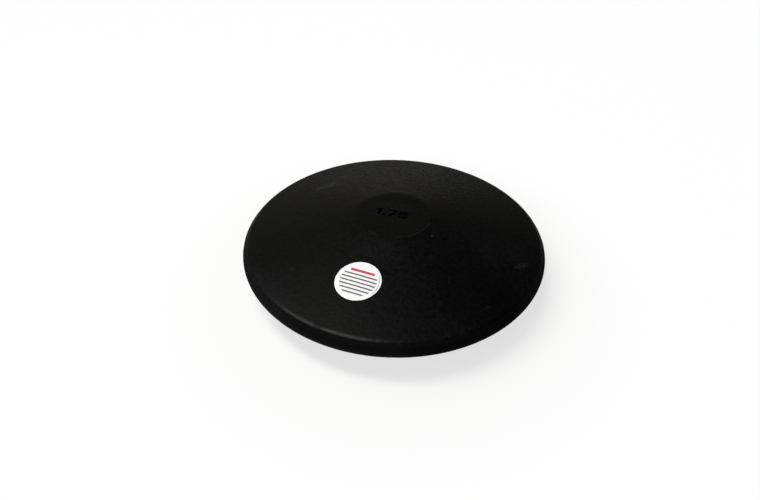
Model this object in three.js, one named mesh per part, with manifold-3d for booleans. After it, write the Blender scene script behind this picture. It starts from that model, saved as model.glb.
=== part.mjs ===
// Practice discus: two rubber halves, cured together round a steel core plate, with a round
// label on the upper face. Millimetres, +Z up. The origin is the middle of the flat circle
// that it rests on, and +Z is the axis that it spins about in flight.
import * as THREE from 'three';
import { mergeVertices } from 'three/addons/utils/BufferGeometryUtils.js';
import Module from 'manifold-3d';

// Outer form
const discusDiameter = 211;
const centreThickness = 42;
const flatDiameter = 52; // the flat circle in the middle of each face
const rimThickness = 13; // the rim is rounded in a full half circle

// Steel core plate, whose key holes the rubber fills
const coreDiameter = 125;
const coreThickness = 10;
const keyHoleDiameter = 15;
const keyCircleDiameter = 85; // the circle that the key holes' centres lie on
const keyHoleCount = 6;
const coreClearance = 0.3; // between the rubber and the plate's edge and holes

// Round label
const labelDiameter = 29;
const labelThickness = 0.2;
const labelInset = 41.5; // from the rim's edge to the label's middle
const labelBearing = -109; // degrees from +X, anticlockwise seen from above
const bondThickness = 0.1; // adhesive between the label and the rubber

// Facets
const roundSides = 96;
const holeSides = 24;
const labelSides = 48;
const rimSteps = 12;

// Worked out from the sizes above
const discusRadius = discusDiameter / 2;
const halfThickness = centreThickness / 2;
const flatRadius = flatDiameter / 2;
const rimRadius = rimThickness / 2;
const rimCentre = discusRadius - rimRadius; // where the rim's section is rounded about
const coreRadius = coreDiameter / 2;
const labelRadius = labelDiameter / 2;
const labelDistance = discusRadius - labelInset;
const slope = taperSlope();

// The straight taper leaves the flat circle's edge and meets the rim's round as a tangent.
function taperSlope() {
  const across = rimCentre - flatRadius;
  const toCentre = Math.atan2(halfThickness, across);
  return toCentre - Math.asin(rimRadius / Math.hypot(across, halfThickness));
}

// A point above the taper, at a distance from the axis and a height square to the surface
function onTaper(distance, height) {
  const drop = (distance - flatRadius) * Math.tan(slope);
  return new THREE.Vector2(
    distance + height * Math.sin(slope),
    halfThickness - drop + height * Math.cos(slope),
  );
}

const wasm = await Module();
wasm.setup();

// A closed geometry as a solid that can be joined and cut
function toSolid(geometry) {
  geometry.deleteAttribute('normal');
  geometry.deleteAttribute('uv');
  const merged = mergeVertices(geometry);
  const kept = [];
  for (let i = 0; i < merged.index.count; i += 3) {
    const [a, b, c] = merged.index.array.slice(i, i + 3);
    if (a !== b && b !== c && c !== a) kept.push(a, b, c);
  }
  return new wasm.Manifold(new wasm.Mesh({
    numProp: 3,
    vertProperties: merged.attributes.position.array,
    triVerts: new Uint32Array(kept),
  }));
}

function toGeometry(solid) {
  const mesh = solid.getMesh();
  const geometry = new THREE.BufferGeometry();
  geometry.setAttribute('position', new THREE.BufferAttribute(mesh.vertProperties, 3));
  geometry.setIndex(new THREE.BufferAttribute(mesh.triVerts, 1));
  geometry.computeVertexNormals();
  return geometry;
}

// An outline turned about +Z. Its points run anticlockwise, with the axis on the left.
function turned(outline) {
  return toSolid(new THREE.LatheGeometry(outline, roundSides).rotateX(Math.PI / 2));
}

// An upright cylinder, centred on the origin
function cylinder(radius, height, sides) {
  return new THREE.CylinderGeometry(radius, radius, height, sides).rotateX(Math.PI / 2);
}

// The same upright cylinder at each key hole
function atKeyHoles(radius, height, lift) {
  const places = [];
  for (let i = 0; i < keyHoleCount; i += 1) {
    const post = cylinder(radius, height, holeSides);
    post.translate(keyCircleDiameter / 2, 0, lift);
    post.rotateZ((i * 2 * Math.PI) / keyHoleCount);
    places.push(toSolid(post));
  }
  return places;
}

// One half of the rubber body, above the plane where the two halves meet: the outer form, the
// recess for the core plate, and the pegs that reach down into the key holes.
function rubberHalf() {
  const recessRadius = coreRadius + coreClearance;
  const recessDepth = coreThickness / 2;
  const outline = [
    new THREE.Vector2(0, recessDepth),
    new THREE.Vector2(recessRadius, recessDepth),
    new THREE.Vector2(recessRadius, 0),
  ];
  for (let i = 0; i <= rimSteps; i += 1) {
    const angle = ((Math.PI / 2 - slope) * i) / rimSteps;
    const out = rimCentre + rimRadius * Math.cos(angle);
    outline.push(new THREE.Vector2(out, rimRadius * Math.sin(angle)));
  }
  outline.push(new THREE.Vector2(flatRadius, halfThickness));
  outline.push(new THREE.Vector2(0, halfThickness));

  const pegRadius = keyHoleDiameter / 2 - coreClearance;
  const pegRoot = recessDepth / 4; // how far a peg's stub runs into the rubber it belongs to
  const pegHeight = recessDepth + pegRoot;
  let half = turned(outline);
  for (const peg of atKeyHoles(pegRadius, pegHeight, pegHeight / 2)) half = half.add(peg);
  return toGeometry(half);
}

function corePlate() {
  let plate = toSolid(cylinder(coreRadius, coreThickness, roundSides));
  const drillLength = coreThickness * 2; // runs out past both faces
  const holes = atKeyHoles(keyHoleDiameter / 2, drillLength, 0);
  for (const hole of holes) plate = plate.subtract(hole);
  return toGeometry(plate);
}

// A thin skin that follows the taper and reaches past the label all round, trimmed to the
// label's circle square to the surface
function roundLabel() {
  const inner = labelDistance - labelDiameter;
  const outer = labelDistance + labelDiameter;
  const top = bondThickness + labelThickness;
  const skin = turned([
    onTaper(inner, bondThickness),
    onTaper(outer, bondThickness),
    onTaper(outer, top),
    onTaper(inner, top),
    onTaper(inner, bondThickness),
  ]);
  const middle = onTaper(labelDistance, 0);
  const trim = cylinder(labelRadius, labelDiameter, labelSides);
  trim.rotateY(slope);
  trim.translate(middle.x, 0, middle.y);
  trim.rotateZ(THREE.MathUtils.degToRad(labelBearing));
  return toGeometry(skin.intersect(toSolid(trim)));
}

const rubber = { color: 0x141414, roughness: 0.45, metalness: 0 };
const steel = { color: 0x8b8e90, roughness: 0.4, metalness: 1 };
const vinyl = { color: 0xf4f4f1, roughness: 0.4, metalness: 0 };

// The pieces are made about the plane where the halves meet, and the group lifts them.
const discus = new THREE.Group();
discus.position.z = halfThickness;

function addPiece(name, geometry, finish) {
  const piece = new THREE.Mesh(geometry, new THREE.MeshStandardMaterial(finish));
  piece.name = name;
  discus.add(piece);
  return piece;
}

addPiece('upper_rubber_half', rubberHalf(), rubber);
const lowerHalf = addPiece('lower_rubber_half', rubberHalf(), rubber);
lowerHalf.rotation.x = Math.PI;
addPiece('steel_core_plate', corePlate(), steel);
addPiece('round_label', roundLabel(), vinyl);

export default discus;
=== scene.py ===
# Practice discus in black moulded rubber with a round white label.
# The finish is built round the CAD frame.
import math

import bpy
from mathutils import Matrix, Vector


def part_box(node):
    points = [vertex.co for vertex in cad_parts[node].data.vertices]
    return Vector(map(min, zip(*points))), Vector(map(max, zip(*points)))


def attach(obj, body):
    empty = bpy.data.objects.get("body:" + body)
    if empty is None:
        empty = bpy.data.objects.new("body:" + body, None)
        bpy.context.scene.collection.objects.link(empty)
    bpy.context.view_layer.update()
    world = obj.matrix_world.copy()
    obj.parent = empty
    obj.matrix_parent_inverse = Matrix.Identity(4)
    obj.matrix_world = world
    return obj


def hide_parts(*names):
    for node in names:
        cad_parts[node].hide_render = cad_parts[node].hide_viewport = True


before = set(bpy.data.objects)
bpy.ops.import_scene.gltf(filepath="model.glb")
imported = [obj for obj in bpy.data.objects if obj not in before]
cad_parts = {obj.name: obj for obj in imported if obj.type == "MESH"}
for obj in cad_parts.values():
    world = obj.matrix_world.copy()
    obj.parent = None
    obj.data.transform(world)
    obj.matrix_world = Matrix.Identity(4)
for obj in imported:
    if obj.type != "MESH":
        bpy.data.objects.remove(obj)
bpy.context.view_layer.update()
scene = bpy.context.scene
scene.view_settings.view_transform = "Standard"
mm = 0.001

# What the frame gives
upperLow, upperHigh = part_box("upper_rubber_half")
coreLow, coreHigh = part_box("steel_core_plate")
discusRadius = upperHigh.x
partingHeight = upperLow.z  # where the two halves meet
halfThickness = upperHigh.z - upperLow.z
coreRadius = coreHigh.x
coreHalfThickness = (coreHigh.z - coreLow.z) / 2
print("frame loaded: discus radius", round(discusRadius / mm, 2), "mm")


# A socket of a node tree. Sums on it are written as plain expressions.
class Wire:
    def __init__(self, tree, socket=None):
        self.tree = tree
        self.socket = socket

    # Any node: its type, its settings, what its sockets take, and which output goes on
    def node(self, kind, settings=None, sockets=None, output=0):
        made = self.tree.nodes.new(kind)
        for name, value in (settings or {}).items():
            setattr(made, name, value)
        for name, value in (sockets or {}).items():
            self.feed(pickSocket(made.inputs, name), value)
        if output is None:  # an output node has none
            return None
        return Wire(self.tree, pickSocket(made.outputs, output))

    def feed(self, socket, value):
        if isinstance(value, Wire):
            self.tree.links.new(value.socket, socket)
        elif isinstance(value, list):  # several wires into one socket
            for wire in value:
                self.tree.links.new(wire.socket, socket)
        elif socket.type == "RGBA":  # colours are given as three numbers
            socket.default_value = (*value, 1)
        else:
            socket.default_value = value

    def maths(self, operation, *values):
        return self.node("ShaderNodeMath", {"operation": operation}, dict(enumerate(values)))

    def __add__(self, other):
        return self.maths("ADD", self, other)

    def __radd__(self, other):
        return self.maths("ADD", other, self)

    def __sub__(self, other):
        return self.maths("SUBTRACT", self, other)

    def __rsub__(self, other):
        return self.maths("SUBTRACT", other, self)

    def __mul__(self, other):
        return self.maths("MULTIPLY", self, other)

    def __rmul__(self, other):
        return self.maths("MULTIPLY", other, self)

    def __truediv__(self, other):
        return self.maths("DIVIDE", self, other)

    def __abs__(self):
        return self.maths("ABSOLUTE", self)

    # 0 below low, 1 above high, and smooth between. With low above high it falls instead.
    def rise(self, low, high):
        if low > high:
            return 1 - self.rise(high, low)
        ends = {"Value": self, "From Min": low, "From Max": high}
        return self.node("ShaderNodeMapRange", {"interpolation_type": "SMOOTHSTEP"}, ends, "Result")

    # One of a vector's X, Y and Z
    def axis(self, letter):
        return self.node("ShaderNodeSeparateXYZ", None, {"Vector": self}, letter)

    # How much of a vector lies along another
    def along(self, other):
        pair = {0: self, 1: other}
        return self.node("ShaderNodeVectorMath", {"operation": "DOT_PRODUCT"}, pair, "Value")

    # A vector turned about Z by an angle in radians
    def spun(self, angle, back=False):
        turn = {"Vector": self, "Angle": angle}
        return self.node("ShaderNodeVectorRotate", {"rotation_type": "Z_AXIS", "invert": back}, turn)


def pickSocket(sockets, name):
    if isinstance(name, int):
        return sockets[name]
    return next(socket for socket in sockets if socket.name == name and socket.enabled)


# Geometry Nodes helpers
mergeDistance = 0.002 * mm  # points nearer than this become one
socketKinds = {
    int: "NodeSocketInt",
    float: "NodeSocketFloat",
    bpy.types.Object: "NodeSocketObject",
    bpy.types.Material: "NodeSocketMaterial",
}


# An empty tree whose named inputs are the given sizes. Its wires are returned by name.
def startTree(name, sizes):
    tree = bpy.data.node_groups.new(name, "GeometryNodeTree")
    tree.interface.new_socket("Geometry", in_out="OUTPUT", socket_type="NodeSocketGeometry")
    tree.interface.new_socket("Geometry", in_out="INPUT", socket_type="NodeSocketGeometry")
    for title, value in sizes.items():
        tree.interface.new_socket(title, in_out="INPUT", socket_type=socketKinds[type(value)])
    entry = tree.nodes.new("NodeGroupInput")
    return {socket.name: Wire(tree, socket) for socket in entry.outputs if socket.name}


# The parts of a piece as one mesh with no doubled points
def welded(wires, parts):
    joined = wires["Geometry"].node("GeometryNodeJoinGeometry", None, {"Geometry": parts})
    merging = {"Geometry": joined, "Distance": mergeDistance}
    return joined.node("GeometryNodeMergeByDistance", None, merging)


def endTree(wires, geometry):
    plain = geometry.node("GeometryNodeRealizeInstances", None, {"Geometry": geometry})
    finished = {"Geometry": plain, "Material": wires["Material"]}
    done = plain.node("GeometryNodeSetMaterial", None, finished)
    wayOut = done.tree.nodes.new("NodeGroupOutput")
    done.feed(wayOut.inputs[0], done)
    return done.tree


# A line through points that stays a line of edges
def lineMesh(name, points):
    mesh = bpy.data.meshes.new(name)
    mesh.from_pydata(points, [(i, i + 1) for i in range(len(points) - 1)], [])
    return mesh


# Grows a piece from a section, by a tree and the values of its inputs, and leaves a plain mesh.
# Edges sharper than an angle in degrees aren't shaded smooth.
def grow(name, section, tree, values, sharpAngle):
    piece = bpy.data.objects.new(name, lineMesh(name, section))
    scene.collection.objects.link(piece)
    modifier = piece.modifiers.new(tree.name, "NODES")
    modifier.node_group = tree
    for item in tree.interface.items_tree:
        if item.in_out == "INPUT" and item.name in values:
            modifier[item.identifier] = values[item.name]
    solved = piece.evaluated_get(bpy.context.evaluated_depsgraph_get())
    mesh = bpy.data.meshes.new_from_object(solved)
    piece.modifiers.remove(modifier)
    piece.data = mesh
    mesh.name = name
    for face in mesh.polygons:
        face.use_smooth = True
    mesh.set_sharp_from_angle(angle=math.radians(sharpAngle))
    print(name, len(mesh.vertices), "points")
    return piece


# How far a place is from the axis
def fromAxis(position):
    flatten = {0: position, 1: (1, 1, 0)}
    flat = position.node("ShaderNodeVectorMath", {"operation": "MULTIPLY"}, flatten)
    return flat.node("ShaderNodeVectorMath", {"operation": "LENGTH"}, {0: flat}, "Value")


# A section in the XZ plane turned about Z. It runs anticlockwise, with the axis on the left.
def turned(wires, section, sides):
    tree = wires["Geometry"]
    sizeOf = {"Geometry": section}
    count = tree.node("GeometryNodeAttributeDomainSize", None, sizeOf, "Point Count")
    columns = {"Vertices X": sides + 1, "Vertices Y": count}
    sheet = tree.node("GeometryNodeMeshGrid", None, columns, "Mesh")
    index = tree.node("GeometryNodeInputIndex")
    column = tree.maths("FLOOR", (index + 0.5) / count)  # the half keeps clear of rounding
    row = index - column * count
    position = tree.node("GeometryNodeInputPosition")
    onSection = {"Geometry": section, "Value": position, "Index": row}
    place = tree.node("GeometryNodeSampleIndex", {"data_type": "FLOAT_VECTOR"}, onSection, "Value")
    moving = {"Geometry": sheet, "Position": place.spun(column * (2 * math.pi) / sides)}
    return tree.node("GeometryNodeSetPosition", None, moving)


def circle(wires, radius, sides):
    size = {"Resolution": sides, "Radius": radius}
    return wires["Geometry"].node("GeometryNodeCurvePrimitiveCircle", None, size, "Curve")


def lifted(wires, geometry, height):
    tree = wires["Geometry"]
    lift = tree.node("ShaderNodeCombineXYZ", None, {"Z": height})
    return tree.node("GeometryNodeTransform", None, {"Geometry": geometry, "Translation": lift})


# A round flat face at a height, facing up, with other closed curves cut out of it
def flatFace(wires, radius, sides, height, cuts=()):
    tree = wires["Geometry"]
    edges = {"Geometry": [circle(wires, radius, sides), *cuts]}
    outlines = tree.node("GeometryNodeJoinGeometry", None, edges)
    filled = tree.node("GeometryNodeFillCurve", None, {"Curve": outlines})
    return lifted(wires, filled, height)


def flipped(wire):
    return wire.node("GeometryNodeFlipFaces", None, {"Mesh": wire})


# The same thing at each key hole
def atKeyHoles(wires, thing):
    tree = wires["Geometry"]
    ring = {"Vertices": wires["Key Holes"], "Radius": wires["Key Circle Radius"]}
    places = tree.node("GeometryNodeMeshCircle", None, ring, "Mesh")
    copying = {"Points": places, "Instance": thing}
    copies = tree.node("GeometryNodeInstanceOnPoints", None, copying)
    return tree.node("GeometryNodeRealizeInstances", None, {"Geometry": copies})


# A circle at each key hole, as curves that a flat face is cut by
def keyEdges(wires, radius):
    return atKeyHoles(wires, circle(wires, radius, wires["Key Sides"]))


# An open tube at each key hole, facing outwards, about a height
def keyTubes(wires, radius, depth, middle):
    tree = wires["Geometry"]
    size = {"Vertices": wires["Key Sides"], "Radius": radius, "Depth": depth}
    tube = tree.node("GeometryNodeMeshCylinder", {"fill_type": "NONE"}, size, "Mesh")
    return atKeyHoles(wires, lifted(wires, tube, middle))


# Points on an arc, from one angle to another in degrees, as (x, height)
def arc(centre, radius, start, end, steps):
    points = []
    for i in range(steps + 1):
        angle = math.radians(start + (end - start) * i / steps)
        x = centre[0] + radius * math.cos(angle)
        points.append((x, centre[1] + radius * math.sin(angle)))
    return points


# Rubber halves: the same section turned, with a recess for the core plate and pegs for its holes
rubber = {
    "flatRadius": 26 * mm,  # the flat circle in the middle of each face
    "rimRadius": 6.5 * mm,  # the rim is rounded in a full half circle
    "seamRadius": 0.12 * mm,  # corner of each half where they meet
    "creaseReach": 2.2 * mm,  # the edge of the flat is softened this far to each side
    "supportReach": 0.4 * mm,  # rings beside a bend, which keep the shading true
    "capRadius": 22 * mm,  # the middle of the flat is one face inside this
    "coreClearance": 0.3 * mm,
    "keyHoleRadius": 7.5 * mm,
    "keyCircleRadius": 42.5 * mm,
    "keyHoles": 6,
    "keySides": 48,
    "sides": 640,
    "seamSteps": 4,
    "rimSteps": 26,
    "taperSteps": 26,
    "creaseSteps": 6,
    "sharpAngle": 40,
    "upperSeed": 4.0,
    "lowerSeed": 9.0,
    "waveDepth": 0.05 * mm,  # the moulding isn't quite even
    "waveScale": 42.0,  # per metre
    "waveDetail": 2.0,
    "nickDepth": 0.1 * mm,  # small dents from landing
    "nickScale": 260.0,
    "nickDetail": 1.0,
    # where each begins and is full
    "nickAt": (0.54, 0.74),  # a nick, in its noise
    "nickReach": (96 * mm, 100 * mm),  # the nicks, in distance from the axis
    "unevenAbove": (5.2 * mm, 6 * mm),  # inside the rim, the outer face and not the recess
    "seamFade": (0.02 * mm, 0.4 * mm),  # all of it, above the seam
}
rimCentre = discusRadius - rubber["rimRadius"]


# The straight taper leaves the flat's edge and meets the rim's round as a tangent.
def taperSlope():
    across = rimCentre - rubber["flatRadius"]
    toCentre = math.atan2(halfThickness, across)
    return toCentre - math.asin(rubber["rimRadius"] / math.hypot(across, halfThickness))


slope = taperSlope()


# Height of the taper above the parting plane
def taperHeight(radius):
    return halfThickness - (radius - rubber["flatRadius"]) * math.tan(slope)


def halfSection():
    flatRadius = rubber["flatRadius"]
    recessRadius = coreRadius + rubber["coreClearance"]
    seam = rubber["seamRadius"]
    points = [(recessRadius, coreHalfThickness), (recessRadius, 0)]
    points += arc((discusRadius - seam, seam), seam, -90, 0, rubber["seamSteps"])
    rimStart = math.degrees(math.asin(seam / rubber["rimRadius"]))
    rimEnd = 90 - math.degrees(slope)
    points += arc((rimCentre, 0), rubber["rimRadius"], rimStart, rimEnd, rubber["rimSteps"])[1:]

    reach = rubber["creaseReach"]
    support = rubber["supportReach"]
    outer = points[-1][0] - support * math.cos(slope)
    inner = flatRadius + reach * math.cos(slope) + support
    for i in range(rubber["taperSteps"] + 1):
        radius = outer + (inner - outer) * i / rubber["taperSteps"]
        points.append((radius, taperHeight(radius)))
    crease = reach / math.tan(slope / 2)
    creaseCentre = (flatRadius - reach, halfThickness - crease)
    points += arc(creaseCentre, crease, rimEnd, 90, rubber["creaseSteps"])
    points.append((flatRadius - reach - support, halfThickness))
    points.append((rubber["capRadius"], halfThickness))
    return [(x, 0, z) for x, z in points]


# Weight mark: plain figures as strokes, sunk into the upper flat
mark = {
    "text": "1.75",
    "height": 5.9 * mm,
    "figureWidth": 5.1 * mm,
    "gap": 2.6 * mm,
    "turn": -15.7,  # degrees, anticlockwise seen from above
    "middle": (-1.2 * mm, 1.2 * mm),
    "strokeWidth": 1.8 * mm,
    "depth": 1.5 * mm,
    "wall": 0.35 * mm,  # how far the groove's wall runs out
    "patch": (26 * mm, 11 * mm),  # finely divided patch that the figures are sunk in
    "step": 0.12 * mm,
    "bowlMiddle": (0.45, 0.33),  # the five's bowl on its grid, and its half sizes
    "bowlReach": (0.52, 0.35),
    "bowlSteps": 14,
}


def fiveBowl():
    x, y = mark["bowlMiddle"]
    wide, high = mark["bowlReach"]
    circled = arc((0, 0), 1, 140, -130, mark["bowlSteps"])
    return [(x + across * wide, y + up * high) for across, up in circled]


# The stroke of each figure on a grid 1 wide and 1 high, and its width as a share of the grid
figures = {
    "1": ([(0, 0.76), (0.42, 1), (0.42, 0)], 0.5),
    ".": ([(0.05, 0), (0.11, 0)], 0.16),
    "7": ([(0, 1), (1, 1), (0.34, 0)], 1.0),
    "5": ([(0.94, 1), (0.12, 1), (0.05, 0.56), *fiveBowl()], 1.0),
}


# A mesh of edges that follows the figures, at the height of the flat
def markStrokes():
    text = mark["text"]
    share = sum(figures[figure][1] for figure in text)
    x = -(share * mark["figureWidth"] + (len(text) - 1) * mark["gap"]) / 2
    turn = Matrix.Rotation(math.radians(mark["turn"]), 2)
    points = []
    edges = []
    for figure in text:
        stroke, width = figures[figure]
        first = len(points)
        for across, up in stroke:
            spot = (x + across * mark["figureWidth"], (up - 0.5) * mark["height"])
            flat = turn @ Vector(spot)
            points.append((flat.x + mark["middle"][0], flat.y + mark["middle"][1], halfThickness))
        edges += [(i, i + 1) for i in range(first, len(points) - 1)]
        x += width * mark["figureWidth"] + mark["gap"]
    mesh = bpy.data.meshes.new("markStrokes")
    mesh.from_pydata(points, edges, [])
    strokes = bpy.data.objects.new("markStrokes", mesh)
    scene.collection.objects.link(strokes)
    return strokes


# The patch with the figures sunk in it, and its outline as a curve to cut out of the flat
def sunkPatch(wires):
    tree = wires["Geometry"]
    size = {name: wires[name] for name in ("Size X", "Size Y", "Vertices X", "Vertices Y")}
    sheet = tree.node("GeometryNodeMeshGrid", None, size, "Mesh")
    turn = tree.node("ShaderNodeCombineXYZ", None, {"Z": wires["Mark Turn"]})
    lift = {"X": wires["Mark X"], "Y": wires["Mark Y"], "Z": wires["Half Thickness"]}
    lift = tree.node("ShaderNodeCombineXYZ", None, lift)
    placing = {"Geometry": sheet, "Translation": lift, "Rotation": turn}
    placed = tree.node("GeometryNodeTransform", None, placing)

    faces = tree.node("GeometryNodeInputMeshEdgeNeighbors")
    onBorder = faces.maths("LESS_THAN", faces, 1.5)  # edges of one face, and not of two
    border = {"Mesh": placed, "Selection": onBorder}
    outline = tree.node("GeometryNodeMeshToCurve", None, border)

    strokes = tree.node("GeometryNodeObjectInfo", None, {"Object": wires["Strokes"]}, "Geometry")
    target = {"Geometry": strokes}
    near = tree.node("GeometryNodeProximity", {"target_element": "EDGES"}, target, "Distance")
    halfWidth = wires["Stroke Width"] / 2
    halfWall = wires["Wall"] / 2
    ends = {
        "Value": near,
        "From Min": halfWidth - halfWall,
        "From Max": halfWidth + halfWall,
        "To Min": 0 - wires["Depth"],
        "To Max": 0.0,
    }
    sink = tree.node("ShaderNodeMapRange", {"interpolation_type": "SMOOTHSTEP"}, ends, "Result")
    offset = tree.node("ShaderNodeCombineXYZ", None, {"Z": sink})
    sunk = tree.node("GeometryNodeSetPosition", None, {"Geometry": placed, "Offset": offset})
    return sunk, outline


# Noise in space, of a seed's own
def seededNoise(wires, position, scale, detail):
    facts = {"Vector": position, "W": wires["Seed"], "Scale": scale, "Detail": detail}
    return position.node("ShaderNodeTexNoise", {"noise_dimensions": "4D"}, facts, "Fac")


# Draws the outer surface in by the wave's depth or less, and deeper in a few nicks round the rim
def uneven(wires, geometry):
    tree = wires["Geometry"]
    position = tree.node("GeometryNodeInputPosition")
    height = position.axis("Z")
    aboveRecess = height.rise(*rubber["unevenAbove"])
    onRim = fromAxis(position).rise(*rubber["nickReach"])
    outside = aboveRecess.maths("MAXIMUM", aboveRecess, onRim) * height.rise(*rubber["seamFade"])
    wave = seededNoise(wires, position, wires["Wave Scale"], rubber["waveDetail"])
    nick = seededNoise(wires, position, wires["Nick Scale"], rubber["nickDetail"])
    nick = nick.rise(*rubber["nickAt"]) * onRim
    depth = wave * wires["Wave Depth"] + nick * wires["Nick Depth"]
    inwards = {0: tree.node("GeometryNodeInputNormal"), "Scale": 0 - depth * outside}
    inwards = tree.node("ShaderNodeVectorMath", {"operation": "SCALE"}, inwards)
    return tree.node("GeometryNodeSetPosition", None, {"Geometry": geometry, "Offset": inwards})


# The upper half has the strokes of the weight mark, and the lower half has none.
def rubberHalf(name, material, seed, strokes=None):
    sizes = {
        "Sides": rubber["sides"],
        "Cap Radius": rubber["capRadius"],
        "Half Thickness": halfThickness,
        "Recess Radius": coreRadius + rubber["coreClearance"],
        "Recess Depth": coreHalfThickness,
        "Peg Radius": rubber["keyHoleRadius"] - rubber["coreClearance"],
        "Key Circle Radius": rubber["keyCircleRadius"],
        "Key Holes": rubber["keyHoles"],
        "Key Sides": rubber["keySides"],
        "Wave Depth": rubber["waveDepth"],
        "Wave Scale": rubber["waveScale"],
        "Nick Depth": rubber["nickDepth"],
        "Nick Scale": rubber["nickScale"],
        "Seed": seed,
        "Material": material,
    }
    if strokes:
        sizes.update({
            "Strokes": strokes,
            "Mark X": mark["middle"][0],
            "Mark Y": mark["middle"][1],
            "Mark Turn": math.radians(mark["turn"]),
            "Stroke Width": mark["strokeWidth"],
            "Depth": mark["depth"],
            "Wall": mark["wall"],
            "Size X": mark["patch"][0],
            "Size Y": mark["patch"][1],
            "Vertices X": round(mark["patch"][0] / mark["step"]) + 1,
            "Vertices Y": round(mark["patch"][1] / mark["step"]) + 1,
        })
    wires = startTree(name, sizes)
    sides = wires["Sides"]
    recess = wires["Recess Depth"]
    parts = [turned(wires, wires["Geometry"], sides)]
    cuts = []
    if strokes:
        patch, outline = sunkPatch(wires)
        parts.append(patch)
        cuts.append(outline)
    parts.append(flatFace(wires, wires["Cap Radius"], sides, wires["Half Thickness"], cuts))
    pegEdges = keyEdges(wires, wires["Peg Radius"])
    parts.append(flipped(flatFace(wires, wires["Recess Radius"], sides, recess, [pegEdges])))
    parts.append(keyTubes(wires, wires["Peg Radius"], recess, recess / 2))
    parts.append(flipped(pegEdges.node("GeometryNodeFillCurve", None, {"Curve": pegEdges})))
    tree = endTree(wires, uneven(wires, welded(wires, parts)))
    return grow(name, halfSection(), tree, sizes, rubber["sharpAngle"])


# Core plate: a disc with a softened edge and six key holes, closed in by the rubber
core = {
    "edgeRadius": 0.6 * mm,
    "edgeSteps": 4,
    "sides": 192,
    "sharpAngle": 40,
}


def coreSection():
    edge = core["edgeRadius"]
    out = coreRadius - edge
    up = coreHalfThickness - edge
    points = arc((out, -up), edge, -90, 0, core["edgeSteps"])
    points += arc((out, up), edge, 0, 90, core["edgeSteps"])
    return [(x, 0, z) for x, z in points]


def corePlate(name, material):
    sizes = {
        "Sides": core["sides"],
        "Face Radius": coreRadius - core["edgeRadius"],
        "Half Thickness": coreHalfThickness,
        "Key Hole Radius": rubber["keyHoleRadius"],
        "Key Circle Radius": rubber["keyCircleRadius"],
        "Key Holes": rubber["keyHoles"],
        "Key Sides": rubber["keySides"],
        "Material": material,
    }
    wires = startTree(name, sizes)
    sides = wires["Sides"]
    height = wires["Half Thickness"]
    holes = keyEdges(wires, wires["Key Hole Radius"])
    top = flatFace(wires, wires["Face Radius"], sides, height, [holes])
    bottom = flatFace(wires, wires["Face Radius"], sides, 0 - height, [holes])
    walls = keyTubes(wires, wires["Key Hole Radius"], height * 2, 0)
    edge = turned(wires, wires["Geometry"], sides)
    plate = welded(wires, [edge, top, flipped(bottom), flipped(walls)])
    return grow(name, coreSection(), endTree(wires, plate), sizes, core["sharpAngle"])


# Round label: a thin coin of vinyl, bent to the taper, with one edge that has begun to lift
label = {
    "radius": 14.5 * mm,
    "distance": 64 * mm,  # from the axis to the label's middle, along the floor
    "bearing": -109.0,  # degrees from +X, anticlockwise seen from above
    "thickness": 0.2 * mm,
    "bond": 0.1 * mm,  # adhesive between the label and the rubber
    "edgeRadius": 0.06 * mm,
    "edgeSteps": 3,
    "innerRadius": 0.6 * mm,  # the middle of each face is one face inside this
    "rings": 22,
    "sides": 128,
    "sharpAngle": 50,
    "printTurn": 1.0,  # degrees that the print is turned on the label
    "liftHeight": 0.35 * mm,
    "liftWidth": 1.6 * mm,
    "liftBearing": -12.0,  # where the edge lifts, from the print's right-hand side
    # where the lift begins and is full
    "liftFacing": (0.72, 0.97),  # to each side, as cosines of the angle from its bearing
    "liftCurl": (0, 1.2),  # across its width, towards the label's edge
}


def labelSection():
    edge = label["edgeRadius"]
    thickness = label["thickness"]
    inner = label["innerRadius"]
    rim = label["radius"] - edge
    rings = label["rings"]
    radii = [inner + (rim - inner) * i / rings for i in range(rings)]
    points = [(radius, 0) for radius in radii]
    points += arc((rim, edge), edge, -90, 0, label["edgeSteps"])
    points += arc((rim, thickness - edge), edge, 0, 90, label["edgeSteps"])
    points += [(radius, thickness) for radius in reversed(radii)]
    return [(x, 0, z) for x, z in points]


# Bends the flat coin to the taper. Its own +X becomes the way down the slope.
def laidOnTaper(wires, geometry):
    tree = wires["Geometry"]
    position = tree.node("GeometryNodeInputPosition")
    reach = fromAxis(position)
    downhill = tree.node("ShaderNodeCombineXYZ", None, {"X": 1.0})
    towards = position.along(downhill.spun(wires["Lift Angle"]))
    facing = (towards / reach).rise(*label["liftFacing"])
    curl = (reach - (wires["Radius"] - wires["Lift Width"])) / wires["Lift Width"]
    lift = facing * curl.rise(*label["liftCurl"]) * wires["Lift Height"]

    out = wires["Distance"] + position.axis("X") * wires["Slope Cosine"]
    side = position.axis("Y")
    below = tree.node("ShaderNodeCombineXYZ", None, {"X": out, "Y": side})
    drop = (fromAxis(below) - wires["Flat Radius"]) * wires["Slope Tangent"]
    above = (position.axis("Z") + wires["Bond"] + lift) / wires["Slope Cosine"]
    height = wires["Half Thickness"] - drop + above
    bent = tree.node("ShaderNodeCombineXYZ", None, {"X": out, "Y": side, "Z": height})
    moving = {"Geometry": geometry, "Position": bent.spun(wires["Bearing"])}
    return tree.node("GeometryNodeSetPosition", None, moving)


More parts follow.
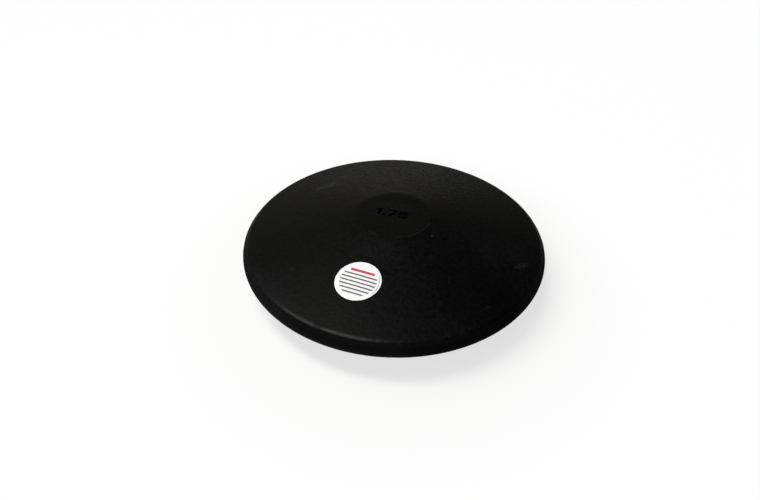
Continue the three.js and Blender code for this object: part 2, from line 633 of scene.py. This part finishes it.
def roundLabel(name, material):
    sizes = {
        "Sides": label["sides"],
        "Radius": label["radius"],
        "Inner Radius": label["innerRadius"],
        "Thickness": label["thickness"],
        "Bond": label["bond"],
        "Distance": label["distance"],
        "Bearing": math.radians(label["bearing"]),
        "Print Turn": math.radians(90 - label["printTurn"]),
        "Lift Angle": math.radians(90 + label["liftBearing"]),
        "Lift Height": label["liftHeight"],
        "Lift Width": label["liftWidth"],
        "Flat Radius": rubber["flatRadius"],
        "Half Thickness": halfThickness,
        "Slope Cosine": math.cos(slope),
        "Slope Tangent": math.tan(slope),
        "Material": material,
    }
    wires = startTree(name, sizes)
    sides = wires["Sides"]
    shell = turned(wires, wires["Geometry"], sides)
    top = flatFace(wires, wires["Inner Radius"], sides, wires["Thickness"])
    bottom = flatFace(wires, wires["Inner Radius"], sides, 0.0)
    coin = welded(wires, [shell, top, flipped(bottom)])

    # The print's own X and Y are stored before the coin is bent.
    position = coin.node("GeometryNodeInputPosition")
    onPrint = position.spun(wires["Print Turn"], back=True)
    storing = {"Geometry": coin, "Name": "print", "Value": onPrint}
    kind = {"data_type": "FLOAT2", "domain": "CORNER"}
    marked = coin.node("GeometryNodeStoreNamedAttribute", kind, storing)
    tree = endTree(wires, laidOnTaper(wires, marked))
    return grow(name, labelSection(), tree, sizes, label["sharpAngle"])


def stand(piece, body, node):
    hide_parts(node)
    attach(piece, body)


# Materials
speckSolid = 0.5  # share of a speck's radius that is solid
speckStrong = 0.7  # share of the specks that are at full strength
ovalSolid = 0.35  # share of an oval's reach that is full


def paint(name):
    material = bpy.data.materials.new(name)
    material.use_nodes = True
    material.node_tree.nodes.clear()
    return material, Wire(material.node_tree)


# Ends a material with its one shader
def coated(material, wire, values):
    shader = wire.node("ShaderNodeBsdfPrincipled", None, values)
    wire.node("ShaderNodeOutputMaterial", None, {"Surface": shader}, None)
    print("material", material.name)
    return material


def noise(place, scale, detail=3.0, roughness=0.5, distortion=0.0):
    facts = {"Vector": place, "Scale": scale, "Detail": detail}
    facts.update({"Roughness": roughness, "Distortion": distortion})
    return place.node("ShaderNodeTexNoise", None, facts, "Fac")


# Noise as a pattern: its facts, and the values of the noise where it begins and is full
def pattern(place, facts, low, high):
    return noise(place, *facts).rise(low, high)


def mixed(factor, low, high):
    colours = {"Factor": factor, "A": low, "B": high}
    return factor.node("ShaderNodeMix", {"data_type": "RGBA"}, colours, "Result")


def relief(wire, strength, depth, height):
    facts = {"Strength": strength, "Distance": depth, "Height": height}
    return wire.node("ShaderNodeBump", None, facts)


# Specks in about the given share of cells, with soft edges
def specks(place, scale, share, size):
    facts = {"Vector": place, "Scale": scale}
    near = place.node("ShaderNodeTexVoronoi", None, facts, "Distance")
    chance = place.node("ShaderNodeTexVoronoi", None, facts, "Color").axis("X")
    return near.rise(size, size * speckSolid) * chance.rise(1 - share, 1 - share * speckStrong)


# A soft oval on the discus seen from above: its middle, half sizes and turn in degrees
def oval(place, middle, reach, turn):
    facts = {
        "Vector": place,
        "Location": (*middle, 0),
        "Rotation": (0, 0, math.radians(turn)),
        "Scale": (*reach, 1),
    }
    local = place.node("ShaderNodeMapping", {"vector_type": "TEXTURE"}, facts)
    return fromAxis(local).rise(1, ovalSolid)


# Rubber: near black, faintly mottled, dusty, with scuffs where it has been knocked, and painted
# shade in the sunk figures
rubberFinish = {
    "black": (0.001, 0.001, 0.001),
    "bloom": (0.005, 0.0052, 0.0059),  # the grey film that comes out of old rubber
    "dust": (0.055, 0.053, 0.047),
    "scuffAndLighterEdge": (0.035, 0.034, 0.031),
    "grooveShade": (0.0003, 0.0003, 0.0003),  # painted shade in the sunk figures, darker than the plain black
    "specular": 0.05,
    "roughness": 0.44,
    "rimRoughness": 0.74,  # the side of the rim
    "rimDull": 1.0,  # the same towards the right, where it has been scraped dull
    "polish": 0.24,  # where handling has polished the rim's shoulder
    "polishVaries": 0.07,
    "mottleVaries": 0.16,
    "wornRougher": 0.2,
    "grooveRougher": 0.2,
    # each noise: scale per metre, detail, roughness, distortion, and for a pattern its two ends
    "mottle": ((430.0, 4.0, 0.65), 0.34, 0.66),
    "cloud": ((45.0, 4.0, 0.55, 0.4), 0.36, 0.68),
    "streaks": ((900.0, 4.0, 0.7), 0.46, 0.66),
    "bits": ((150.0, 3.0, 0.6), 0.5, 0.7),  # where an edge is worn
    "grain": (1500.0, 3.0, 0.6),
    "dimples": (260.0, 4.0, 0.62),
    # how much bloom the mottle, the cloud and the grain bring
    "bloomShares": (0.4, 0.08, 0.12),
    "bloomGrain": (0.5, 0.75),
    "reliefDepth": 0.085 * mm,
    "grainRelief": 0.24,
    "dimpleRelief": 2.8,
    "dimplesPolished": 0.85,  # share of the dimples that polish takes off
    "wornRelief": 0.4,
    # middle, half sizes and turn of each cloud of bloom, with how strong it is
    "hazes": [
        ((-8 * mm, -38 * mm), (22 * mm, 12 * mm), -5, 0.5),
        ((-38 * mm, 62 * mm), (20 * mm, 9 * mm), 20, 0.7),
        ((70 * mm, -24 * mm), (26 * mm, 20 * mm), 20, 0.35),
        ((-1 * mm, 9 * mm), (21 * mm, 10 * mm), -5, 0.5),
        ((-77 * mm, -65 * mm), (40 * mm, 13 * mm), -50, 0.7),
    ],
    "hazeEven": 0.3,  # share of a cloud that isn't mottled
    # the same for each stretch that is cleaner than the rest
    "wiped": [
        ((58 * mm, -72 * mm), (52 * mm, 34 * mm), -45, 0.7),
        ((-2 * mm, 43 * mm), (44 * mm, 13 * mm), 3, 0.8),
    ],
    # the same for each scuff
    "scuffs": [
        ((83.5 * mm, -36.5 * mm), (7 * mm, 2.6 * mm), 30, 0.8),
        ((54.5 * mm, -75.7 * mm), (7.5 * mm, 0.7 * mm), 40, 0.45),
        ((45 * mm, -89.5 * mm), (8 * mm, 2.6 * mm), 15, 0.16),
        ((-52 * mm, 47.5 * mm), (13 * mm, 4.5 * mm), 25, 1.5),
        ((-37.5 * mm, 65.7 * mm), (5 * mm, 1.8 * mm), 47, 1.0),
        ((-64 * mm, -47.8 * mm), (2.4 * mm, 1.6 * mm), 40, 0.6),
    ],
    # the same for each lighter stretch of the flat's edge
    "lighterEdge": [
        ((-13.4 * mm, -22.3 * mm), (5.5 * mm, 3 * mm), -31, 0.42),
        ((3.6 * mm, -25.7 * mm), (3.4 * mm, 2 * mm), 8, 0.5),
        ((13.8 * mm, -22 * mm), (7 * mm, 3 * mm), 32, 0.44),
        ((22 * mm, -13.8 * mm), (8 * mm, 3 * mm), 57, 0.46),
    ],
    "lighterEdgeStreaks": (0.15, 0.6),  # how much of the lighter edge is even, and how much in streaks
    "dustSpecks": [((240.0, 0.3, 0.075), 0.2), ((90.0, 0.1, 0.04), 0.4)],
    "specks": [((25.4 * mm, -21.9 * mm), 0.6 * mm), ((24.4 * mm, 57.9 * mm), 0.5 * mm)],
    "dull": ((-42.4 * mm, -92.3 * mm), (3.6 * mm, 3 * mm), -25),  # a knock in the polish
    "polishBearing": -113.0,
    # where each begins and is full
    "lighterEdgeWidth": (1.1 * mm, 0.2 * mm),  # the lighter edge of the flat, to each side
    "ringInner": (98.6 * mm, 99.8 * mm),  # a faintly worn ring on the rim's shoulder
    "ringOuter": (102.4 * mm, 101 * mm),
    "ringStrength": 0.16,
    "grooveTop": (0.2 * mm, 0.7 * mm),  # the painted shade in the grooves, in depth under the flat
    "grooveFloor": (4 * mm, 3 * mm),
    "grooveReach": (18 * mm, 16 * mm),  # the same, in distance from the axis
    "rimReach": (99.4 * mm, 100.8 * mm),
    "shoulder": (4 * mm, 5.6 * mm),  # height of the rim's shoulders above and below the seam
    "polishReach": (0.86, 0.97),  # cosines of the angle from the polish's bearing
    "dullRight": (-6 * mm, 30 * mm),  # the scraped side of the rim, along X
    "dullLeft": (-66 * mm, -96 * mm),  # the same at the far left
    "dullLeftShare": 0.5,
}


# The grey film: mottle, cloud and grain everywhere, thicker in hazes and thinner where wiped
def bloomFilm(place, mottle, grain):
    look = rubberFinish
    byMottle, byCloud, byGrain = look["bloomShares"]
    film = mottle * byMottle + pattern(place, *look["cloud"]) * byCloud
    film = film + grain.rise(*look["bloomGrain"]) * byGrain
    even = look["hazeEven"]
    for middle, reach, turn, strength in look["hazes"]:
        film = film + oval(place, middle, reach, turn) * (even + mottle * (1 - even)) * strength
    for middle, reach, turn, strength in look["wiped"]:
        film = film * (1 - oval(place, middle, reach, turn) * strength)
    return film


def dustOn(place):
    look = rubberFinish
    fine, coarse = [specks(place, *facts) * strength for facts, strength in look["dustSpecks"]]
    dust = fine + coarse
    for middle, size in look["specks"]:
        dust = dust.maths("MAXIMUM", dust, oval(place, middle, (size, size), 0))
    return dust


# Wear on the rim's shoulder and in the scuffs, and lighter stretches of the flat's edge
def wearAndLighterEdge(place, radius, streaks, bits):
    look = rubberFinish
    ring = radius.rise(*look["ringInner"]) * radius.rise(*look["ringOuter"])
    wornAndLighterEdge = ring * streaks * bits * look["ringStrength"]
    # a few stretches of the flat's edge in front are made lighter, towards the scuff grey
    even, streaked = look["lighterEdgeStreaks"]
    edge = abs(radius - rubber["flatRadius"]).rise(*look["lighterEdgeWidth"])
    edge = edge * (even + streaks * streaked)
    for middle, reach, turn, strength in look["lighterEdge"]:
        wornAndLighterEdge = wornAndLighterEdge + edge * oval(place, middle, reach, turn) * strength
    for middle, reach, turn, strength in look["scuffs"]:
        wornAndLighterEdge = wornAndLighterEdge + oval(place, middle, reach, turn) * streaks * strength
    return wornAndLighterEdge


# Roughness of the plain rubber, of the rim's dull side and of its polished shoulder, with how
# far the polish goes
def rimAndTaper(place, radius, above, bits):
    look = rubberFinish
    onRim = radius.rise(*look["rimReach"])
    shoulder = abs(above).rise(*look["shoulder"])
    bearing = math.radians(look["polishBearing"])
    facing = place.along((math.cos(bearing), math.sin(bearing), 0)) / radius
    polished = onRim * shoulder * facing.rise(*look["polishReach"])
    polished = polished * (1 - oval(place, *look["dull"]))
    across = place.axis("X")
    atLeft = across.rise(*look["dullLeft"]) * look["dullLeftShare"]
    scraped = across.rise(*look["dullRight"]) + atLeft
    plain = look["roughness"]
    side = scraped * (look["rimDull"] - look["rimRoughness"]) + (look["rimRoughness"] - plain)
    roughness = plain + onRim * (1 - shoulder) * side
    polish = look["polish"] + (0.5 - bits) * look["polishVaries"]
    return roughness + polished * (polish - plain), polished


def blackRubber(name):
    material, wire = paint(name)
    look = rubberFinish
    place = wire.node("ShaderNodeTexCoord", output="Object")
    radius = fromAxis(place)
    above = place.axis("Z") - partingHeight
    mottle = pattern(place, *look["mottle"])
    streaks = pattern(place, *look["streaks"])
    bits = pattern(place, *look["bits"])
    grain = noise(place, *look["grain"])
    wornAndLighterEdge = wearAndLighterEdge(place, radius, streaks, bits)
    sunk = halfThickness - above
    # painted shade: the grooves of the sunk figures are darker than the plain black
    grooveShade = sunk.rise(*look["grooveTop"]) * sunk.rise(*look["grooveFloor"])
    grooveShade = grooveShade * radius.rise(*look["grooveReach"])

    colour = mixed(bloomFilm(place, mottle, grain), look["black"], look["bloom"])
    colour = mixed(dustOn(place), colour, look["dust"])
    # wear and scuffs, and the lighter stretches of the flat's edge, towards the scuff grey
    colour = mixed(wornAndLighterEdge.maths("MINIMUM", wornAndLighterEdge, 1.0), colour, look["scuffAndLighterEdge"])
    colour = mixed(grooveShade, colour, look["grooveShade"])

    roughness, polished = rimAndTaper(place, radius, above, bits)
    roughness = roughness + (mottle - 0.5) * look["mottleVaries"] * (1 - polished)
    roughness = roughness + wornAndLighterEdge * look["wornRougher"] + grooveShade * look["grooveRougher"]

    dimples = noise(place, *look["dimples"]) * look["dimpleRelief"]
    height = grain * look["grainRelief"] + dimples * (1 - polished * look["dimplesPolished"])
    height = height + streaks * wornAndLighterEdge * look["wornRelief"]
    return coated(material, wire, {
        "Base Color": colour,
        "Roughness": roughness,
        "Specular IOR Level": look["specular"],
        "Normal": relief(wire, 1.0, look["reliefDepth"], height),
    })


# Core plate: mill finish with a few dark stains
steelFinish = {
    "dark": (0.36, 0.36, 0.37),
    "light": (0.46, 0.46, 0.46),
    "stain": (0.16, 0.13, 0.11),
    "stainStrength": 0.6,
    "lineStretch": (30, 900, 300),  # per metre: the lines run along X
    "lines": (1.0, 3.0, 0.6),
    "lineEnds": (0.3, 0.7),
    "stains": ((38.0, 5.0, 0.62), 0.52, 0.72),
    "roughness": 0.32,
    "linesRougher": 0.14,
    "stainRougher": 0.25,
    "reliefStrength": 0.6,
    "reliefDepth": 0.02 * mm,
}


def millSteel(name):
    material, wire = paint(name)
    look = steelFinish
    place = wire.node("ShaderNodeTexCoord", output="Object")
    stretch = {"Vector": place, "Scale": look["lineStretch"]}
    lines = noise(wire.node("ShaderNodeMapping", None, stretch), *look["lines"])
    stain = pattern(place, *look["stains"])
    colour = mixed(lines.rise(*look["lineEnds"]), look["dark"], look["light"])
    colour = mixed(stain * look["stainStrength"], colour, look["stain"])
    rougher = lines * look["linesRougher"]
    return coated(material, wire, {
        "Base Color": colour,
        "Metallic": 1.0,
        "Roughness": look["roughness"] + rougher + stain * look["stainRougher"],
        "Normal": relief(wire, look["reliefStrength"], look["reliefDepth"], lines),
    })


# Label: white vinyl printed with a red bar and plain ruled lines, with grime, and painted shade
# along the bend of its lifted edge
labelFinish = {
    "white": (0.93, 0.935, 0.955),
    "grimeAndCreaseShade": (0.52, 0.51, 0.48),
    "red": (0.56, 0.045, 0.06),
    "grey": (0.06, 0.064, 0.064),
    "barMiddle": (0.2 * mm, 7.2 * mm),
    "barHalf": (8 * mm, 0.9 * mm),
    "firstLine": 4.1 * mm,  # the lines' places up the label
    "linePitch": 2.7 * mm,
    "lines": 6,
    "lineHalf": 0.55 * mm,
    "lineReach": 11.6 * mm,  # the lines end on a circle
    "lineStrength": 0.92,
    "inkEdge": 0.06 * mm,  # how softly the print ends
    "inkGaps": ((2600.0, 2.0), 0.58, 0.72),  # the ink isn't quite solid
    "inkGapDepth": 0.25,
    "grimePatches": ((300.0, 4.0, 0.6), 0.45, 0.75),
    # how strong the grime is all over and near the edge, and how strong the painted shade is in the
    # crease
    "grimeShares": (0.08, 0.45, 0.9),
    "grimeReach": 1.0 * mm,  # how far in from the edge the grime comes
    "grimeFade": (0, 1.1 * mm),
    "creaseRadius": 13.15 * mm,  # bend inside the edge that lifts, where a line of shade is painted
    "creaseWidth": (0.45 * mm, 0.12 * mm),
    "creaseFacing": (0.76, 0.92),  # cosines of the angle from the print's right-hand side
    # share of the print's grey painted into the crease as shade
    "creaseShadeDark": 0.3,
    "specular": 0.4,
    "roughness": 0.42,
    "grimeRougher": 0.2,
    "barSmoother": 0.06,
    "reliefStrength": 0.4,
    "reliefDepth": 0.01 * mm,
    "reliefNoise": (700.0, 3.0),
}


# The red bar and the ruled lines, from where a place is on the print
def barAndLines(across, up, fromMiddle):
    look = labelFinish
    soft = look["inkEdge"]
    barEnd = abs(across - look["barMiddle"][0]) - look["barHalf"][0]
    barEdge = abs(up - look["barMiddle"][1]) - look["barHalf"][1]
    bar = barEnd.rise(soft, -soft) * barEdge.rise(soft, -soft)
    row = (look["firstLine"] - up) / look["linePitch"] + 0.5  # each line is midway in its row
    nearest = abs(row.maths("FRACT", row) - 0.5) * look["linePitch"]
    lines = (nearest - look["lineHalf"]).rise(soft, -soft)
    lines = lines * (fromMiddle - look["lineReach"]).rise(soft, -soft)
    last = float(look["lines"])
    return bar, lines * row.maths("GREATER_THAN", row, 0.0) * row.maths("LESS_THAN", row, last)


def printedVinyl(name):
    material, wire = paint(name)
    look = labelFinish
    place = wire.node("ShaderNodeTexCoord", output="Object")
    spot = wire.node("ShaderNodeUVMap", {"uv_map": "print"})
    across = spot.axis("X")
    fromMiddle = fromAxis(spot)
    bar, lines = barAndLines(across, spot.axis("Y"), fromMiddle)
    ink = 1 - pattern(place, *look["inkGaps"]) * look["inkGapDepth"]

    edge = (fromMiddle - (label["radius"] - look["grimeReach"])).rise(*look["grimeFade"])
    # painted shade: a grey line along the bend inside the lifted edge
    crease = abs(fromMiddle - look["creaseRadius"]).rise(*look["creaseWidth"])
    crease = crease * (across / fromMiddle).rise(*look["creaseFacing"])
    allOver, atEdge, creaseShadeShare = look["grimeShares"]
    grimeAndCreaseShade = pattern(place, *look["grimePatches"]) * (allOver + edge * atEdge) + crease * creaseShadeShare

    colour = mixed(grimeAndCreaseShade, look["white"], look["grimeAndCreaseShade"])
    colour = mixed(crease * look["creaseShadeDark"], colour, look["grey"])
    colour = mixed(bar * ink, colour, look["red"])
    colour = mixed(lines * ink * look["lineStrength"], colour, look["grey"])
    rougher = grimeAndCreaseShade * look["grimeRougher"]
    bumps = noise(place, *look["reliefNoise"])
    return coated(material, wire, {
        "Base Color": colour,
        "Roughness": look["roughness"] + rougher - bar * look["barSmoother"],
        "Specular IOR Level": look["specular"],
        "Normal": relief(wire, look["reliefStrength"], look["reliefDepth"], bumps),
    })


# The pieces, each in its place
rubberMaterial = blackRubber("blackRubber")
strokes = markStrokes()
upper = rubberHalf("upper_rubber", rubberMaterial, rubber["upperSeed"], strokes)
bpy.data.objects.remove(strokes)
lower = rubberHalf("lower_rubber", rubberMaterial, rubber["lowerSeed"])
plate = corePlate("core_plate", millSteel("millSteel"))
sticker = roundLabel("label", printedVinyl("printedVinyl"))
upright = Matrix.Translation((0, 0, partingHeight))
for piece in (upper, plate, sticker):
    piece.data.transform(upright)
lower.data.transform(upright @ Matrix.Rotation(math.pi, 4, "X"))
stand(upper, "root", "upper_rubber_half")
stand(lower, "root", "lower_rubber_half")
stand(plate, "root", "steel_core_plate")
stand(sticker, "root", "round_label")


# Camera, at the photograph's angle
view = {
    "elevation": 38.195,  # degrees that the camera looks down to the discus's middle
    "distance": 0.35923,
    "lens": 23.69,
    "sensorWidth": 36,
    "clipStart": 0.01,
    "yaw": -1.492,  # small turns that put the discus a little off the picture's middle
    "pitch": -1.438,
    "roll": 1.357,
}


def addCamera():
    camera = bpy.data.cameras.new("camera")
    camera.lens = view["lens"]
    camera.sensor_width = view["sensorWidth"]
    camera.clip_start = view["clipStart"]
    eye = bpy.data.objects.new("camera", camera)
    scene.collection.objects.link(eye)
    elevation = math.radians(view["elevation"])
    away = Vector((0, -math.cos(elevation), math.sin(elevation))) * view["distance"]
    turns = [
        ("X", 90 - view["elevation"]),
        ("Y", -view["yaw"]),
        ("X", view["pitch"]),
        ("Z", view["roll"]),
    ]
    pose = Matrix.Translation(away + Vector((0, 0, partingHeight)))
    for about, degrees in turns:
        pose = pose @ Matrix.Rotation(math.radians(degrees), 4, about)
    eye.matrix_world = pose
    scene.camera = eye


# Studio: a pale floor, a softbox overhead and a little to the left, and a dim room that is
# lighter at the left, in front and low down
studio = {
    "floorSize": 8.0,
    "floorDrop": 0.05 * mm,  # below the discus, so that their faces don't lie in one plane
    "floorColour": (0.9, 0.9, 0.9),
    # how much of the floor shows as plain white, beside the discus and far from it
    "floorWhite": (0.7, 0.985),
    "whiteReach": (0.1, 0.18),  # metres from the middle
    "roomPlain": (0.97, 1.0, 1.03),
    "roomWarm": (1.02, 0.965, 0.79),  # towards the back
    # strengths of the room's own light
    "roomLeft": 0.26,
    "roomFront": 0.65,
    "roomLow": 0.19,
    # where each begins and is full, from -1 to 1 along the room's axes
    "leftAlongX": (0.6, -0.3),
    "frontAlongX": (0.3, -0.6),
    "frontAlongY": (0.1, -0.9),
    "lowAlongZ": (0.7, 0.3),
    "warmAlongY": (0.2, 0.95),
}

softbox = {
    "towards": (-0.36, 0.03, 0.93),  # the way to it from the discus
    "along": (-0.55, 0.29, -0.25),  # the way that it is long
    "distance": 1.0,
    "length": 0.64,
    "depth": 0.25,
    "radiance": 16.0,
    "colour": (1, 0.99, 0.93),
}


def addFloor():
    size = studio["floorSize"] / 2
    corners = [(-size, -size, 0), (size, -size, 0), (size, size, 0), (-size, size, 0)]
    mesh = bpy.data.meshes.new("floor")
    mesh.from_pydata(corners, [], [(0, 1, 2, 3)])
    floor = bpy.data.objects.new("floor", mesh)
    floor.location.z = -studio["floorDrop"]
    scene.collection.objects.link(floor)
    material, wire = paint("paleFloor")
    lit = wire.node("ShaderNodeBsdfDiffuse", None, {"Color": studio["floorColour"]})
    white = wire.node("ShaderNodeEmission", None, {"Color": (1, 1, 1), "Strength": 1.0})
    seen = wire.node("ShaderNodeLightPath", output="Is Camera Ray")
    for ray in ("Is Glossy Ray", "Is Transmission Ray"):
        seen = seen.maths("MAXIMUM", seen, wire.node("ShaderNodeLightPath", output=ray))
    low, high = studio["floorWhite"]
    place = wire.node("ShaderNodeTexCoord", output="Object")
    away = fromAxis(place).rise(*studio["whiteReach"])
    share = seen * (low + away * (high - low))
    shader = wire.node("ShaderNodeMixShader", None, {0: share, 1: lit, 2: white})
    wire.node("ShaderNodeOutputMaterial", None, {"Surface": shader}, None)
    mesh.materials.append(material)


def addSoftbox():
    light = bpy.data.lights.new("softbox", "AREA")
    light.shape = "RECTANGLE"
    light.size = softbox["length"]
    light.size_y = softbox["depth"]
    light.energy = softbox["radiance"] * math.pi * softbox["length"] * softbox["depth"]
    light.color = softbox["colour"]
    lamp = bpy.data.objects.new("softbox", light)
    scene.collection.objects.link(lamp)
    out = Vector(softbox["towards"]).normalized()
    side = out.cross(Vector(softbox["along"])).normalized()
    lamp.location = out * softbox["distance"] + Vector((0, 0, partingHeight))
    lamp.rotation_euler = Matrix((side.cross(out), side, out)).transposed().to_euler()


def addWorld():
    world = bpy.data.worlds.new("room")
    world.use_nodes = True
    world.node_tree.nodes.clear()
    wire = Wire(world.node_tree)
    towards = wire.node("ShaderNodeTexCoord", output="Generated")
    x = towards.axis("X")
    y = towards.axis("Y")
    front = y.rise(*studio["frontAlongY"]) * x.rise(*studio["frontAlongX"])
    strength = x.rise(*studio["leftAlongX"]) * studio["roomLeft"] + front * studio["roomFront"]
    low = towards.axis("Z").rise(*studio["lowAlongZ"])
    strength = strength + low * studio["roomLow"]
    strength = strength.maths("MINIMUM", strength, 1.0)
    colour = mixed(y.rise(*studio["warmAlongY"]), studio["roomPlain"], studio["roomWarm"])
    sky = wire.node("ShaderNodeBackground", None, {"Color": colour, "Strength": strength})
    wire.node("ShaderNodeOutputWorld", None, {"Surface": sky}, None)
    scene.world = world


addCamera()
addFloor()
addSoftbox()
addWorld()
print("studio and camera set")
